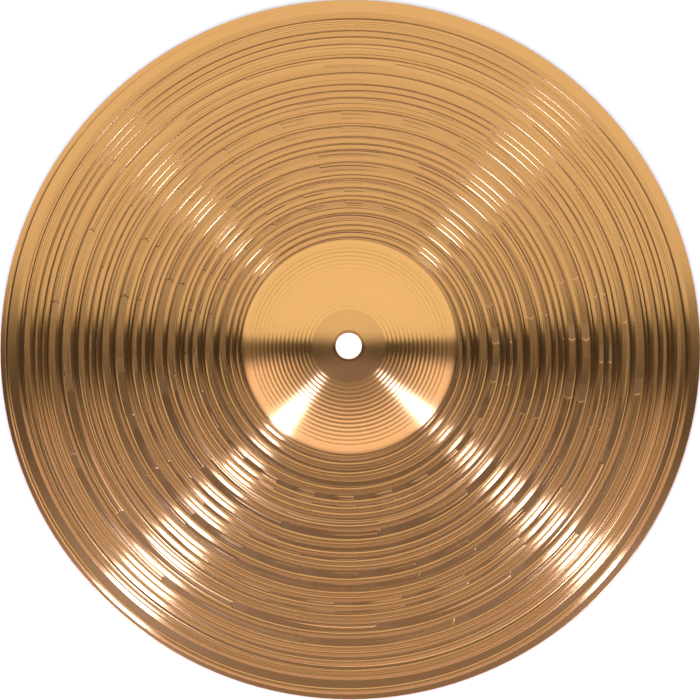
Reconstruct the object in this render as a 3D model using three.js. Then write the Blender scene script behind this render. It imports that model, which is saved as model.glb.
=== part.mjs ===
// A 14 inch crash cymbal: one disc of bronze, pressed into a bell and a bow, with a hole for a stand's rod.
// Millimetres, +Z up. The origin is on the axis, at the height of the plane that the rim rests on.
import { Group, LatheGeometry, Mesh, MeshStandardMaterial, Vector2 } from "three";

// Driving dimensions.
const RIM_RADIUS = 177.8; // a 14 inch cymbal
const BELL_RADIUS = 54; // where the bell's wall would meet the bow, before the corner is rounded
const SEAT_RADIUS = 18.3; // the flat seat round the hole, which the felts press on
const HOLE_RADIUS = 6.5;
const BOW_RISE = 16; // from the rim up to the bell's foot
const BELL_RISE = 19; // from the bell's foot up to the seat
const SEAT_THICKNESS = 1.2;
const RIM_THICKNESS = 0.8;
const FOOT_BLEND = 1.2; // twice the height that rounding adds in the corner at the bell's foot

// How finely the outline and the circle are divided.
const BELL_STEPS = 8;
const FOOT_STEPS = 4;
const BOW_STEPS = 7;
const TURN_STEPS = 96;

// Height of a parabolic dome above its outer circle. It is 0 at the outer radius, and the full rise at the inner one.
function domeHeight(radius, innerRadius, outerRadius, rise) {
  return (rise * (outerRadius ** 2 - radius ** 2)) / (outerRadius ** 2 - innerRadius ** 2);
}

// Height of the upper surface. The bell and the bow are two domes, and a soft maximum rounds the corner between them.
// Inside the seat's edge the surface is flat.
function topHeight(radius) {
  const domeRadius = Math.max(radius, SEAT_RADIUS);
  const bow = domeHeight(domeRadius, BELL_RADIUS, RIM_RADIUS, BOW_RISE);
  const bell = BOW_RISE + domeHeight(domeRadius, SEAT_RADIUS, BELL_RADIUS, BELL_RISE);
  return RIM_THICKNESS + (bow + bell + Math.hypot(bow - bell, FOOT_BLEND)) / 2;
}

// The sheet gets thinner from the seat's edge to the rim.
function thickness(radius) {
  const share = Math.max(0, radius - SEAT_RADIUS) / (RIM_RADIUS - SEAT_RADIUS);
  return SEAT_THICKNESS + (RIM_THICKNESS - SEAT_THICKNESS) * share;
}

// Evenly spaced radii from one radius up to another, leaving out the last.
function radiiBetween(start, end, steps) {
  return Array.from({ length: steps }, (_, step) => start + ((end - start) * step) / steps);
}

// The radii where the outline has a point: close together at the bell's foot, and wider apart on the bow.
function outlineRadii() {
  const footWidth = 4 * FOOT_BLEND;
  const footStart = BELL_RADIUS - footWidth / 2;
  const footEnd = BELL_RADIUS + footWidth / 2;
  return [
    HOLE_RADIUS,
    ...radiiBetween(SEAT_RADIUS, footStart, BELL_STEPS),
    ...radiiBetween(footStart, footEnd, FOOT_STEPS),
    ...radiiBetween(footEnd, RIM_RADIUS, BOW_STEPS),
    RIM_RADIUS,
  ];
}

// The closed section: along the underside from the hole to the rim, back along the top, and down the hole's wall.
function sheetOutline() {
  const radii = outlineRadii();
  const under = radii.map((radius) => new Vector2(radius, topHeight(radius) - thickness(radius)));
  const top = radii.map((radius) => new Vector2(radius, topHeight(radius))).reverse();
  return [...under, ...top, under[0].clone()];
}

function makeCymbal() {
  const geometry = new LatheGeometry(sheetOutline(), TURN_STEPS);
  geometry.rotateX(Math.PI / 2);
  const bronze = new MeshStandardMaterial({ color: 0xc98f4f, roughness: 0.35, metalness: 1 });
  const cymbal = new Mesh(geometry, bronze);
  cymbal.name = "cymbal";
  return cymbal;
}

const group = new Group();
group.add(makeCymbal());

export default group;
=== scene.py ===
"""A 14 inch crash cymbal: one sheet of bronze with a ridged bell, spiral bands and hammer marks."""
import math

import bpy
import numpy as np
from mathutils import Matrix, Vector


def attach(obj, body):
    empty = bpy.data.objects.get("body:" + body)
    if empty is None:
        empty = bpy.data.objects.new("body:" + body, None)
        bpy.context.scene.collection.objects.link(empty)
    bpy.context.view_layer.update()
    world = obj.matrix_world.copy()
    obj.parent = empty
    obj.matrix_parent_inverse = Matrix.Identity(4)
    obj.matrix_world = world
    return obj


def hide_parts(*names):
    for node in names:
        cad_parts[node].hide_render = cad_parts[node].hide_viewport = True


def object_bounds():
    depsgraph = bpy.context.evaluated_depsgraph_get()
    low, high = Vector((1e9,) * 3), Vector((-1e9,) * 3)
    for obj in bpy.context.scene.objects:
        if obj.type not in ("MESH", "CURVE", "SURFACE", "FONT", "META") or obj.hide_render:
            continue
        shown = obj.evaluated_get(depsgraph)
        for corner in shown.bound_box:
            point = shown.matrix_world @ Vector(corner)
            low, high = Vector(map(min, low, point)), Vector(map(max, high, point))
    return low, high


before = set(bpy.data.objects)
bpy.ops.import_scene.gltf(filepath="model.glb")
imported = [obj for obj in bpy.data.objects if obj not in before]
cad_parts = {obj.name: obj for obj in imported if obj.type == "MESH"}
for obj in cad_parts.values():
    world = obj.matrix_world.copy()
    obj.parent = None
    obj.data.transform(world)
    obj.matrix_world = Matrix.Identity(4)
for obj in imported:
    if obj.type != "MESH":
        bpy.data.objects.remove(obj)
cad_low, cad_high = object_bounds()

MM = 0.001

# The sheet, with the CAD's own dimensions. The rim's radius comes from the frame.
RIM_RADIUS = cad_high.x
BELL_RADIUS = 54 * MM
SEAT_RADIUS = 18.3 * MM
HOLE_RADIUS = 6.5 * MM
BOW_RISE = 16 * MM
BELL_RISE = 19 * MM
SEAT_THICKNESS = 1.2 * MM
RIM_THICKNESS = 0.8 * MM
FOOT_BLEND = 1.2 * MM

# What the visible sheet adds to that: a rounded hole with a low lip, and a crowned seat.
HOLE_ROUNDING = 0.15 * MM
HOLE_LIP_RISE = 0.12 * MM
HOLE_LIP_WIDTH = 0.9 * MM
SEAT_CROWN = 1.8 * MM  # how far the seat's edge lies below the hole's, without the lip

# How finely the visible mesh is divided: columns round the axis, and rings on each stretch of the section.
COLUMNS = 144
TOP_RINGS = (4, 7, 81, 12, 519)  # lip, seat, bell, foot of the bell, bow
UNDER_RINGS = (16, 5, 11, 2)  # bow, foot of the bell, bell, seat
FOOT_REACH = 2.6 * MM  # how far the foot's stretch goes to either side of the bell's radius
HOLE_EDGE_STEPS = 3
RIM_EDGE_STEPS = 6

# The raised bands follow two spirals. Each starts near the rim and winds inward, counter-clockwise as seen
# from above. The pitch is that at the start, and the tightening brings the turns closer further in.
SPIRAL_START_RADIUS = 172.5 * MM
SPIRAL_START_TURN = 318 / 360
SPIRALS = (
    {"pitch": 7.19 * MM, "tightening": 0.656},
    {"pitch": 9.53 * MM, "tightening": 0.425},
)
BAND_WIDTH = 2.9 * MM
BAND_WALL_WIDTH = 0.7 * MM  # the steep side, towards the bell
BAND_HEIGHT = 0.46 * MM
BAND_FALL = 1.35  # how the other side falls off: 1 is straight, 2 a parabola
BANDS_OUTER_LIMIT = 175.6 * MM
BANDS_INNER_LIMIT = 54.5 * MM
BANDS_FADE = 0.8 * MM
BAND_EDGE_SOFTNESS = 0.2 * MM

# The turned ridges on the bell.
BELL_RIDGE_PITCH = 2.08 * MM
BELL_RIDGE_HEIGHT = 0.15 * MM
BELL_RIDGES_OUTER_LIMIT = 51 * MM
BELL_RIDGES_FADE = 1.5 * MM

# The lathe cuts between the bands, which stop short of the rim, and the finest scratches.
CUT_WIDTH = 1.1 * MM
CUT_DEPTH = 0.36 * MM
CUTS_OUTER_LIMIT = 168 * MM
CUTS_EDGE_SOFTNESS = 0.4 * MM
SCRATCH_WIDTH = 0.2 * MM
SCRATCH_DEPTH = 0.02 * MM
SCRATCH_SHARE_OFF_BANDS = 0.1  # the part of the scratches' depth that is left beside the bands
NOISE_MIDDLE = 0.5  # of noise that runs from 0 to 1

# The hammer marks lie in rings. In each, the lathe cuts break off at evenly spaced dents. A ring's start is
# where one of its dents has its steep end, in turns from +X.
HAMMER_RINGS = (
    {"inner": 71 * MM, "outer": 84 * MM, "count": 24, "start": 3 / 360},
    {"inner": 89 * MM, "outer": 104 * MM, "count": 12, "start": 10.4 / 360},
    {"inner": 106.5 * MM, "outer": 121.5 * MM, "count": 24, "start": 3 / 360},
    {"inner": 126 * MM, "outer": 134 * MM, "count": 24, "start": 12.5 / 360},
    {"inner": 139 * MM, "outer": 145.2 * MM, "count": 12, "start": 6.2 / 360},
    {"inner": 145.2 * MM, "outer": 152.5 * MM, "count": 12, "start": 21.7 / 360},
)
DENT_LENGTH = 6 * MM
DENT_WALL = 0.9 * MM  # the length of the steep end, where the lathe cuts set in again
DENT_APPROACH_START = 1 / 3  # where the cuts start to fade, as a share of the way to the next dent
DENT_FINISH_FADE = DENT_LENGTH / 2  # how far before a dent its rougher finish sets in
DENT_DEPTH = 0.08 * MM  # from the middle of the lathe cuts' height down to the dent
DENT_CURVE = 0.6  # how far a dent's wall bulges, per distance from the band beside it

# The bronze's colours. The matt faces' colour changes with the radius.
BAND_COLOUR = (0.78, 0.395, 0.138)
BELL_COLOUR = (0.98, 0.51, 0.17)
MATT_COLOURS = (
    # The first two stops paint a thin dark ring round the hole: painted shade on the hole's rounded edge.
    (HOLE_RADIUS + 1.1 * MM, (0.5, 0.24, 0.08)),
    (HOLE_RADIUS + 1.6 * MM, (0.88, 0.455, 0.16)),
    (BELL_RADIUS, (0.68, 0.345, 0.127)),
    (100 * MM, (0.69, 0.35, 0.13)),
    (155 * MM, (0.83, 0.43, 0.152)),
)

# Its finish. The anisotropy is how far reflections are drawn out across the lathe lines.
ANISOTROPY_TURN = 0.25  # a quarter turn, from along the lathe lines to across them
MATT_ROUGHNESS = 0.23
MATT_ANISOTROPY = 0.2
CUTS_ROUGHENING = 0.03  # what the lathe cuts add to the matt faces' roughness
DENT_ROUGHENING = 0.04  # and what the dents add to that
BAND_ROUGHNESS = 0.22
BAND_ANISOTROPY = 0.99
BELL_ROUGHNESS = 0.23
BELL_ANISOTROPY = 0.85

# The luminous ceiling. Its back is bright. Its front is dark overhead, dim further forward, and bright
# far out.
CEILING_HEIGHT = 1.0
CEILING_RADIUS = 6.0
BACK_COLOUR = (1, 1.04, 1.04)
BACK_RADIANCE = 0.93
BACK_EDGE = (0.07, 0.11)  # where the back fades in, as a distance behind the axis
BACK_EDGE_BEND = 0.075  # how much further back that lies, per distance to the side
FRONT_COLOUR = (1, 0.95, 1.14)
OVERHEAD_RADIANCE = 0.024
NEAR_RADIANCE = 0.24
NEAR_EDGE = (-0.04, 0.22)  # where the dim front fades in, as a distance in front of the axis
NEAR_EDGE_BEND = 0.15
FAR_RADIANCE = 1.15
FAR_EDGE = (0.9, 2.1)  # where the far front fades in, as a distance from the axis
SIDE_EDGE = (0.03, 0.2)  # where it rises to full light, as the sine of the angle forward from the side
SIDE_SHARE = 0.15  # the part of the far front's light that is left at the sides

# The two strip lamps, below the ceiling and in front of the cymbal. Azimuths are in degrees from +X.
LAMP_COLOUR = (0.4, 0.5, 1)
LAMP_POWER = 68  # in watts per square metre of the lamp
LAMP_DISTANCE = 0.9
LAMP_LOW = 0.22
LAMP_HIGH = 0.98
STRIP_LAMPS = (
    {"name": "left_lamp", "azimuth": 226.5, "width": 0.16},
    {"name": "right_lamp", "azimuth": 319.5, "width": 0.115},
)

# The floor, and a glowing pad just above it that keeps the hole white.
DISC_CORNERS = 96
FLOOR_RADIUS = 4.0
FLOOR_HEIGHT = -0.5 * MM
FLOOR_COLOUR = (0.9, 0.9, 0.9)
PAD_RADIUS = 30 * MM
PAD_HEIGHT = 0.5 * MM
PAD_COLOUR = (1, 1, 1)
PAD_GLOW = 1.0
PLAIN_ROUGHNESS = 0.9

# The camera. Its tilts are in degrees from straight down.
CAMERA_DISTANCE = 2.0
CAMERA_TILT_FRONT = 2.2
CAMERA_TILT_RIGHT = 0.88
CAMERA_TARGET = (0.1 * MM, -0.7 * MM, 0)


# ---------------------------------------------------------------- the sheet's section

def dome_height(radius, inner_radius, outer_radius, rise):
    """Height of a parabolic dome above its outer circle."""
    return rise * (outer_radius**2 - radius**2) / (outer_radius**2 - inner_radius**2)


def top_height(radius):
    """Height of the smooth upper surface: two domes with the corner between them rounded, and a crowned seat
    with a lip at the hole."""
    dome_radius = np.maximum(radius, SEAT_RADIUS)
    bow = dome_height(dome_radius, BELL_RADIUS, RIM_RADIUS, BOW_RISE)
    dome_rise = BELL_RISE - SEAT_CROWN - HOLE_LIP_RISE
    bell = BOW_RISE + dome_height(dome_radius, SEAT_RADIUS, BELL_RADIUS, dome_rise)
    crown = dome_height(np.minimum(radius, SEAT_RADIUS), HOLE_RADIUS, SEAT_RADIUS, SEAT_CROWN)
    lip = HOLE_LIP_RISE * smooth_step(radius, HOLE_RADIUS + HOLE_LIP_WIDTH, HOLE_RADIUS)
    return RIM_THICKNESS + (bow + bell + np.hypot(bow - bell, FOOT_BLEND)) / 2 + crown + lip


def under_height(radius):
    """Height of the underside, below the top by the sheet's thickness."""
    share = np.maximum(0, radius - SEAT_RADIUS) / (RIM_RADIUS - SEAT_RADIUS)
    return top_height(radius) - SEAT_THICKNESS - (RIM_THICKNESS - SEAT_THICKNESS) * share


def smooth_step(value, start, end):
    """0 before start, 1 after end, and a smooth change between. Start may be the larger of the two."""
    share = np.clip((value - start) / (end - start), 0, 1)
    return share * share * (3 - 2 * share)


# ---------------------------------------------------------------- relief on the upper side

def rounded(value):
    """The nearest whole number, of an array or of a material's field."""
    return value.math("ROUND") if isinstance(value, Field) else np.round(value)


def spiral_offset(radius, turn, spiral):
    """Distance inward from the nearest turn of a spiral, as a share of its pitch: 0 on the turn itself.
    Radius and turn are arrays for the mesh, or fields for the material."""
    reach = SPIRAL_START_RADIUS - radius
    turns = reach / spiral["pitch"] * (1 + spiral["tightening"] * reach) - (turn - SPIRAL_START_TURN)
    return turns - rounded(turns)


def band_relief(radius, turn):
    """Height of the bands: a steep wall on the bell's side and a gentle fall on the rim's side."""
    height = np.zeros(np.broadcast(radius, turn).shape)
    for spiral in SPIRALS:
        from_wall_foot = BAND_WIDTH / 2 - spiral_offset(radius, turn, spiral) * spiral["pitch"]
        wall = from_wall_foot / BAND_WALL_WIDTH
        fall = np.clip((from_wall_foot - BAND_WALL_WIDTH) / (BAND_WIDTH - BAND_WALL_WIDTH), 0, 1)
        height = np.maximum(height, np.minimum(wall, 1 - fall**BAND_FALL))
    inside = smooth_step(radius, BANDS_OUTER_LIMIT, BANDS_OUTER_LIMIT - BANDS_FADE)
    outside = smooth_step(radius, BANDS_INNER_LIMIT, BANDS_INNER_LIMIT + BANDS_FADE)
    return BAND_HEIGHT * height * inside * outside


def bell_relief(radius):
    """Height of the turned ridges on the bell."""
    wave = np.cos(2 * math.pi * (radius - SEAT_RADIUS) / BELL_RIDGE_PITCH)
    outside = smooth_step(radius, SEAT_RADIUS, SEAT_RADIUS + BELL_RIDGES_FADE)
    inside = smooth_step(radius, BELL_RIDGES_OUTER_LIMIT, BELL_RIDGES_OUTER_LIMIT - BELL_RIDGES_FADE)
    return BELL_RIDGE_HEIGHT * wave * outside * inside / 2


# ---------------------------------------------------------------- the mesh

def quarter_round(radius, height, rounding, start_angle, steps):
    """Points of a quarter circle about a centre, from the start angle on, clockwise."""
    angles = start_angle - np.linspace(0, math.pi / 2, steps + 1)
    return radius + rounding * np.cos(angles), height + rounding * np.sin(angles)


def steps_between(edges, counts):
    """Radii that cut each stretch between two edges into its count of steps. The outermost two edges aren't
    among them."""
    stretches = [
        np.linspace(start, end, count, endpoint=False)
        for start, end, count in zip(edges, edges[1:], counts)
    ]
    return np.concatenate(stretches)[1:]


def section_rows():
    """Radius and height of each ring of the sheet's closed section, from the hole over the top to the rim and
    back along the underside, and which of them lie on the lathed top."""
    hole_edge = HOLE_RADIUS + HOLE_ROUNDING
    seat_height = float(top_height(hole_edge))
    rim_middle = RIM_THICKNESS / 2
    rim_centre = RIM_RADIUS - rim_middle
    lip_radius, lip_height = quarter_round(
        hole_edge, seat_height - HOLE_ROUNDING, HOLE_ROUNDING, math.pi, HOLE_EDGE_STEPS
    )
    foot_edges = (BELL_RADIUS - FOOT_REACH, BELL_RADIUS + FOOT_REACH)
    top_edges = (hole_edge, HOLE_RADIUS + HOLE_LIP_WIDTH, SEAT_RADIUS, *foot_edges, rim_centre)
    top_radius = steps_between(top_edges, TOP_RINGS)
    rim_angles = np.linspace(math.pi / 2, -math.pi / 2, RIM_EDGE_STEPS + 1)
    rim_radius = rim_centre + rim_middle * np.cos(rim_angles)
    rim_height = float(under_height(rim_centre)) + rim_middle * (1 + np.sin(rim_angles))
    under_radius = steps_between((rim_centre, *reversed(foot_edges), SEAT_RADIUS, HOLE_RADIUS), UNDER_RINGS)
    under_radius = np.append(under_radius, HOLE_RADIUS)
    radius = np.concatenate([lip_radius, top_radius, rim_radius, under_radius])
    height = np.concatenate([lip_height, top_height(top_radius), rim_height, under_height(under_radius)])
    on_top = np.zeros(len(radius), bool)
    on_top[len(lip_radius) : len(lip_radius) + len(top_radius)] = True
    return radius, height, on_top


def make_cymbal():
    """The whole sheet as one closed mesh of rings, with the relief in its upper side."""
    radius, height, on_top = section_rows()
    turn = np.arange(COLUMNS) / COLUMNS
    ring_radius, ring_turn = np.meshgrid(radius, turn, indexing="ij")
    relief = band_relief(ring_radius, ring_turn) + bell_relief(ring_radius)
    z = height[:, None] + relief * on_top[:, None]
    x = ring_radius * np.cos(2 * math.pi * ring_turn)
    y = ring_radius * np.sin(2 * math.pi * ring_turn)
    points = np.stack([x, y, z], axis=-1).reshape(-1, 3)

    ring = np.arange(len(radius))[:, None] * COLUMNS
    next_ring = np.roll(ring, -1, axis=0)
    column = np.arange(COLUMNS)[None, :]
    next_column = np.roll(column, -1, axis=1)
    corners = (ring + column, next_ring + column, next_ring + next_column, ring + next_column)
    faces = np.stack(corners, axis=-1).reshape(-1, 4)

    mesh = bpy.data.meshes.new("cymbal_sheet")
    mesh.from_pydata(points.tolist(), [], faces.tolist())
    mesh.shade_smooth()
    mesh.update()
    piece = bpy.data.objects.new("cymbal_sheet", mesh)
    bpy.context.collection.objects.link(piece)
    return piece


# ---------------------------------------------------------------- materials

class Field:
    """A value at each point of a surface, worked out by Math nodes that Python's own operators make."""

    def __init__(self, tree, socket):
        self.tree = tree
        self.socket = socket

    def math(self, operation, *others):
        """The result of a Math node's operation on this value and the others."""
        node = self.tree.nodes.new("ShaderNodeMath")
        node.operation = operation
        for socket, value in zip(node.inputs, (self, *others)):
            if isinstance(value, Field):
                self.tree.links.new(value.socket, socket)
            else:
                socket.default_value = value
        return Field(self.tree, node.outputs[0])

    def __add__(self, other):
        return self.math("ADD", other)

    def __sub__(self, other):
        return self.math("SUBTRACT", other)

    def __mul__(self, other):
        return self.math("MULTIPLY", other)

    def __truediv__(self, other):
        return self.math("DIVIDE", other)

    def __neg__(self):
        return self * -1

    __radd__ = __add__
    __rmul__ = __mul__

    def __rsub__(self, other):
        return -self + other

    def ramp(self, start, end):
        """0 at start, 1 at end and smooth between. Start may be the larger of the two."""
        node = self.tree.nodes.new("ShaderNodeMapRange")
        node.interpolation_type = "SMOOTHSTEP"
        self.tree.links.new(self.socket, node.inputs["Value"])
        low, high = min(start, end), max(start, end)
        node.inputs["From Min"].default_value = low
        node.inputs["From Max"].default_value = high
        node.inputs["To Min"].default_value = 0 if start < end else 1
        node.inputs["To Max"].default_value = 1 if start < end else 0
        return Field(self.tree, node.outputs["Result"])

    def between(self, low, high, softness):
        """1 between two values and 0 outside them."""
        return self.ramp(low - softness, low + softness) * self.ramp(high + softness, high - softness)

    def noise(self, size, detail):
        """Noise along this value, from 0 to 1, with features of about the given size."""
        node = self.tree.nodes.new("ShaderNodeTexNoise")
        node.noise_dimensions = "1D"
        node.inputs["Detail"].default_value = detail
        node.inputs["Scale"].default_value = 1 / size
        self.tree.links.new(self.socket, node.inputs["W"])
        return Field(self.tree, node.outputs["Fac"])


def plan_fields(tree):
    """The X and Y of each point of the surface."""
    place = tree.nodes.new("ShaderNodeTexCoord")
    split = tree.nodes.new("ShaderNodeSeparateXYZ")
    tree.links.new(place.outputs["Object"], split.inputs["Vector"])
    return Field(tree, split.outputs["X"]), Field(tree, split.outputs["Y"])


def axis_distance(x, y):
    """The distance from the axis of a place in plan."""
    return (x * x + y * y).math("SQRT")


def polar_fields(tree):
    """The distance from the axis, and the place round it in turns from +X, at each point of the surface."""
    x, y = plan_fields(tree)
    return axis_distance(x, y), y.math("ARCTAN2", x) / (2 * math.pi)


def band_distance(radius, turn):
    """Distance from the middle line of the nearest spiral band."""
    first, second = (
        spiral_offset(radius, turn, spiral).math("ABSOLUTE") * spiral["pitch"] for spiral in SPIRALS
    )
    return first.math("MINIMUM", second)


def band_mask(radius, distance):
    """1 on the spiral bands and 0 between them."""
    on_band = distance.ramp(BAND_WIDTH / 2 + BAND_EDGE_SOFTNESS, BAND_WIDTH / 2 - BAND_EDGE_SOFTNESS)
    return on_band * radius.between(BANDS_INNER_LIMIT, BANDS_OUTER_LIMIT, BAND_EDGE_SOFTNESS)


def dent_fields(radius, turn, distance):
    """The part of the lathe cuts' height that the hammer marks leave, and a mask that is 1 in the dents."""
    missing_height, dents = 0, 0
    for ring in HAMMER_RINGS:
        spacing = 2 * math.pi * (ring["inner"] + ring["outer"]) / 2 / ring["count"]
        lean = distance * (-DENT_CURVE / spacing)
        along = ((ring["start"] - turn) * ring["count"] + lean).math("FRACT") * spacing
        inside = radius.between(ring["inner"], ring["outer"], CUTS_EDGE_SOFTNESS)
        end = spacing - DENT_LENGTH
        level = along.ramp(0, DENT_WALL) * along.ramp(end, end * DENT_APPROACH_START)
        missing_height = (1 - level) * inside + missing_height
        dents = along.ramp(end - DENT_FINISH_FADE, end) * inside + dents
    return 1 - missing_height, dents


def bronze_shader(tree, colour, roughness, anisotropy):
    """Bronze of one colour, whose anisotropy draws reflections out across the lathe lines."""
    shader = tree.nodes.new("ShaderNodeBsdfPrincipled")
    shader.inputs["Base Color"].default_value = (*colour, 1)
    shader.inputs["Metallic"].default_value = 1
    shader.inputs["Roughness"].default_value = roughness
    shader.inputs["Anisotropic"].default_value = anisotropy
    shader.inputs["Anisotropic Rotation"].default_value = ANISOTROPY_TURN
    tangent = tree.nodes.new("ShaderNodeTangent")
    tangent.direction_type = "RADIAL"
    tangent.axis = "Z"
    tree.links.new(tangent.outputs["Tangent"], shader.inputs["Tangent"])
    return shader


def colours_by_radius(tree, radius, stops):
    """A colour that goes through the given colours at the given radii."""
    ramp = tree.nodes.new("ShaderNodeValToRGB")
    tree.links.new((radius / RIM_RADIUS).socket, ramp.inputs["Fac"])
    elements = ramp.color_ramp.elements
    elements.remove(elements[0])
    elements[0].position = 1.0
    elements[0].color = (*stops[-1][1], 1)
    for place, colour in stops:
        elements.new(place / RIM_RADIUS).color = (*colour, 1)
    return ramp.outputs["Color"]


def bronze_material():
    """Turned bronze: bright on the bell, with drawn-out reflections on the spiral bands, and matt elsewhere.
    Fine lathe cuts between the bands break off at the hammer marks."""
    material = bpy.data.materials.new("lathed_bronze")
    material.use_nodes = True
    tree = material.node_tree
    tree.nodes.clear()

    radius, turn = polar_fields(tree)
    distance = band_distance(radius, turn)
    bands = band_mask(radius, distance)
    cuts_left, dents = dent_fields(radius, turn, distance)
    on_bow = radius.between(BANDS_INNER_LIMIT, CUTS_OUTER_LIMIT, CUTS_EDGE_SOFTNESS)
    on_bell = radius.between(SEAT_RADIUS, BELL_RADIUS, CUTS_EDGE_SOFTNESS)
    between_bands = (1 - bands) * on_bow

    cuts = ((radius + turn * CUT_WIDTH).noise(CUT_WIDTH, detail=1) - NOISE_MIDDLE) * CUT_DEPTH
    scratched = bands * (1 - SCRATCH_SHARE_OFF_BANDS) + SCRATCH_SHARE_OFF_BANDS
    scratches = radius.noise(SCRATCH_WIDTH, detail=0) * scratched * SCRATCH_DEPTH
    relief = (cuts + DENT_DEPTH) * between_bands * cuts_left + scratches
    # The relief is in metres, so the bump takes it as it is.
    bump = tree.nodes.new("ShaderNodeBump")
    bump.inputs["Strength"].default_value = 1
    bump.inputs["Distance"].default_value = 1
    tree.links.new(relief.socket, bump.inputs["Height"])

    matt = bronze_shader(tree, MATT_COLOURS[-1][1], MATT_ROUGHNESS, MATT_ANISOTROPY)
    # This matt colour includes the thin dark ring of painted shade round the hole.
    tree.links.new(colours_by_radius(tree, radius, MATT_COLOURS), matt.inputs["Base Color"])
    roughness = (dents * DENT_ROUGHENING + CUTS_ROUGHENING) * between_bands + MATT_ROUGHNESS
    tree.links.new(roughness.socket, matt.inputs["Roughness"])
    banded = bronze_shader(tree, BAND_COLOUR, BAND_ROUGHNESS, BAND_ANISOTROPY)
    bell = bronze_shader(tree, BELL_COLOUR, BELL_ROUGHNESS, BELL_ANISOTROPY)
    surface = matt.outputs["BSDF"]
    for shader in (matt, banded, bell):
        tree.links.new(bump.outputs["Normal"], shader.inputs["Normal"])
    for share, shader in ((bands, banded), (on_bell, bell)):
        mix = tree.nodes.new("ShaderNodeMixShader")
        tree.links.new(share.socket, mix.inputs["Fac"])
        tree.links.new(surface, mix.inputs[1])
        tree.links.new(shader.outputs["BSDF"], mix.inputs[2])
        surface = mix.outputs["Shader"]
    output = tree.nodes.new("ShaderNodeOutputMaterial")
    tree.links.new(surface, output.inputs["Surface"])
    return material


def plain_material(name, colour, glow=0):
    """An even, dull material for the stage, which may glow in its own colour."""
    material = bpy.data.materials.new(name)
    material.use_nodes = True
    shader = material.node_tree.nodes["Principled BSDF"]
    shader.inputs["Base Color"].default_value = (*colour, 1)
    shader.inputs["Roughness"].default_value = PLAIN_ROUGHNESS
    shader.inputs["Emission Color"].default_value = (*colour, 1)
    shader.inputs["Emission Strength"].default_value = glow
    return material


# ---------------------------------------------------------------- stage, lights and camera

def add_disc(name, radius, height, material):
    """A flat round piece of the stage."""
    bpy.ops.mesh.primitive_circle_add(
        vertices=DISC_CORNERS, radius=radius, fill_type="NGON", location=(0, 0, height)
    )
    disc = bpy.context.object
    disc.name = name
    disc.data.materials.append(material)
    return disc


def add_strip_lamp(name, azimuth, width):
    """A tall soft light that faces the axis, in the direction of an azimuth in degrees from +X."""
    height = LAMP_HIGH - LAMP_LOW
    light = bpy.data.lights.new(name, "AREA")
    light.shape = "RECTANGLE"
    light.size = width
    light.size_y = height
    light.energy = LAMP_POWER * width * height
    light.color = LAMP_COLOUR
    lamp = bpy.data.objects.new(name, light)
    outward = Vector((math.cos(math.radians(azimuth)), math.sin(math.radians(azimuth)), 0))
    lamp.location = outward * LAMP_DISTANCE + Vector((0, 0, (LAMP_LOW + LAMP_HIGH) / 2))
    lamp.rotation_euler = outward.to_track_quat("Z", "Y").to_euler()
    lamp.visible_camera = False
    bpy.context.collection.objects.link(lamp)


def add_glow(tree, colour, strength, socket):
    """Light of one colour and a varying strength, led to a shader socket."""
    light = tree.nodes.new("ShaderNodeEmission")
    light.inputs["Color"].default_value = (*colour, 1)
    tree.links.new(strength.socket, light.inputs["Strength"])
    tree.links.new(light.outputs["Emission"], socket)


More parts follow.
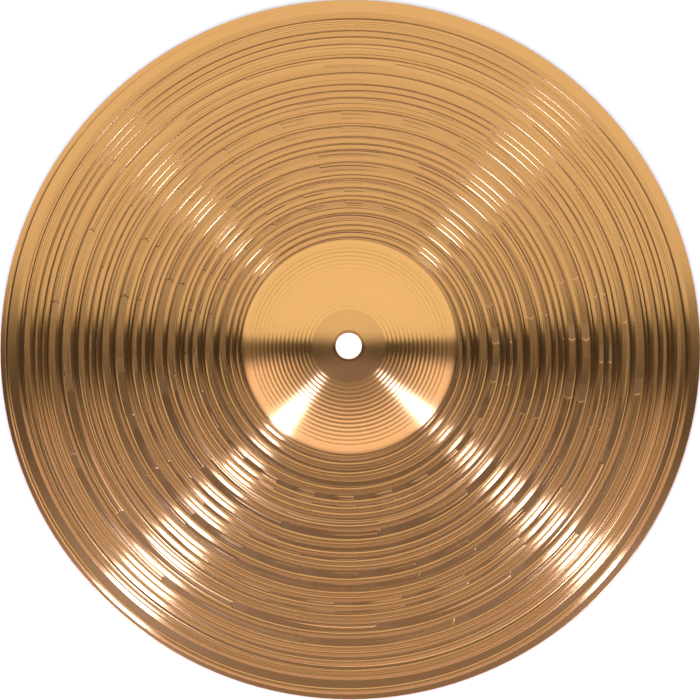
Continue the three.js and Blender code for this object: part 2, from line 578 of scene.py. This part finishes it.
def ceiling_material():
    """Light whose strength and colour follow the place on the ceiling, by the ceiling's values above."""
    material = bpy.data.materials.new("ceiling_light")
    material.use_nodes = True
    tree = material.node_tree
    tree.nodes.clear()
    x, y = plan_fields(tree)
    aside = x.math("ABSOLUTE")
    distance = axis_distance(x, y)
    back = (y - aside * BACK_EDGE_BEND).ramp(*BACK_EDGE)
    near = (-y - aside * NEAR_EDGE_BEND).ramp(*NEAR_EDGE) * NEAR_RADIANCE
    side_dimming = (-y / distance).ramp(*SIDE_EDGE) * (1 - SIDE_SHARE) + SIDE_SHARE
    far = distance.ramp(*FAR_EDGE) * side_dimming * FAR_RADIANCE
    mix = tree.nodes.new("ShaderNodeMixShader")
    tree.links.new(back.socket, mix.inputs["Fac"])
    add_glow(tree, FRONT_COLOUR, near + far + OVERHEAD_RADIANCE, mix.inputs[1])
    add_glow(tree, BACK_COLOUR, back * BACK_RADIANCE, mix.inputs[2])
    output = tree.nodes.new("ShaderNodeOutputMaterial")
    tree.links.new(mix.outputs["Shader"], output.inputs["Surface"])
    return material


def add_ceiling():
    """A wide luminous ceiling that shows only in reflections, so that the floor stays evenly white."""
    ceiling = add_disc("ceiling", CEILING_RADIUS, CEILING_HEIGHT, ceiling_material())
    ceiling.visible_camera = False
    ceiling.visible_diffuse = False
    ceiling.visible_shadow = False


def set_world():
    """A white surround that lights the floor and is seen behind it, but isn't mirrored in the metal."""
    world = bpy.data.worlds.new("white_surround")
    world.use_nodes = True
    background = world.node_tree.nodes["Background"]
    background.inputs["Color"].default_value = (1, 1, 1, 1)
    background.inputs["Strength"].default_value = 1.0
    world.cycles_visibility.glossy = False
    bpy.context.scene.world = world


def add_camera():
    """Almost straight down, tilted a little to the front and the right, with the rim filling the frame."""
    data = bpy.data.cameras.new("camera")
    data.lens = data.sensor_width / 2 * CAMERA_DISTANCE / RIM_RADIUS
    camera = bpy.data.objects.new("camera", data)
    camera.rotation_euler = (math.radians(CAMERA_TILT_FRONT), math.radians(CAMERA_TILT_RIGHT), 0)
    back = camera.rotation_euler.to_matrix() @ Vector((0, 0, 1))
    camera.location = Vector(CAMERA_TARGET) + back * CAMERA_DISTANCE
    bpy.context.collection.objects.link(camera)
    bpy.context.scene.camera = camera


# ---------------------------------------------------------------- putting it together

add_camera()
cymbal = make_cymbal()
cymbal.data.materials.append(bronze_material())
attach(cymbal, "root")
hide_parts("cymbal")

add_disc("floor", FLOOR_RADIUS, FLOOR_HEIGHT, plain_material("pale_floor", FLOOR_COLOUR))
add_disc("light_pad", PAD_RADIUS, PAD_HEIGHT, plain_material("lit_white", PAD_COLOUR, PAD_GLOW))
add_ceiling()
for strip_lamp in STRIP_LAMPS:
    add_strip_lamp(**strip_lamp)
set_world()
bpy.context.scene.view_settings.view_transform = "Standard"
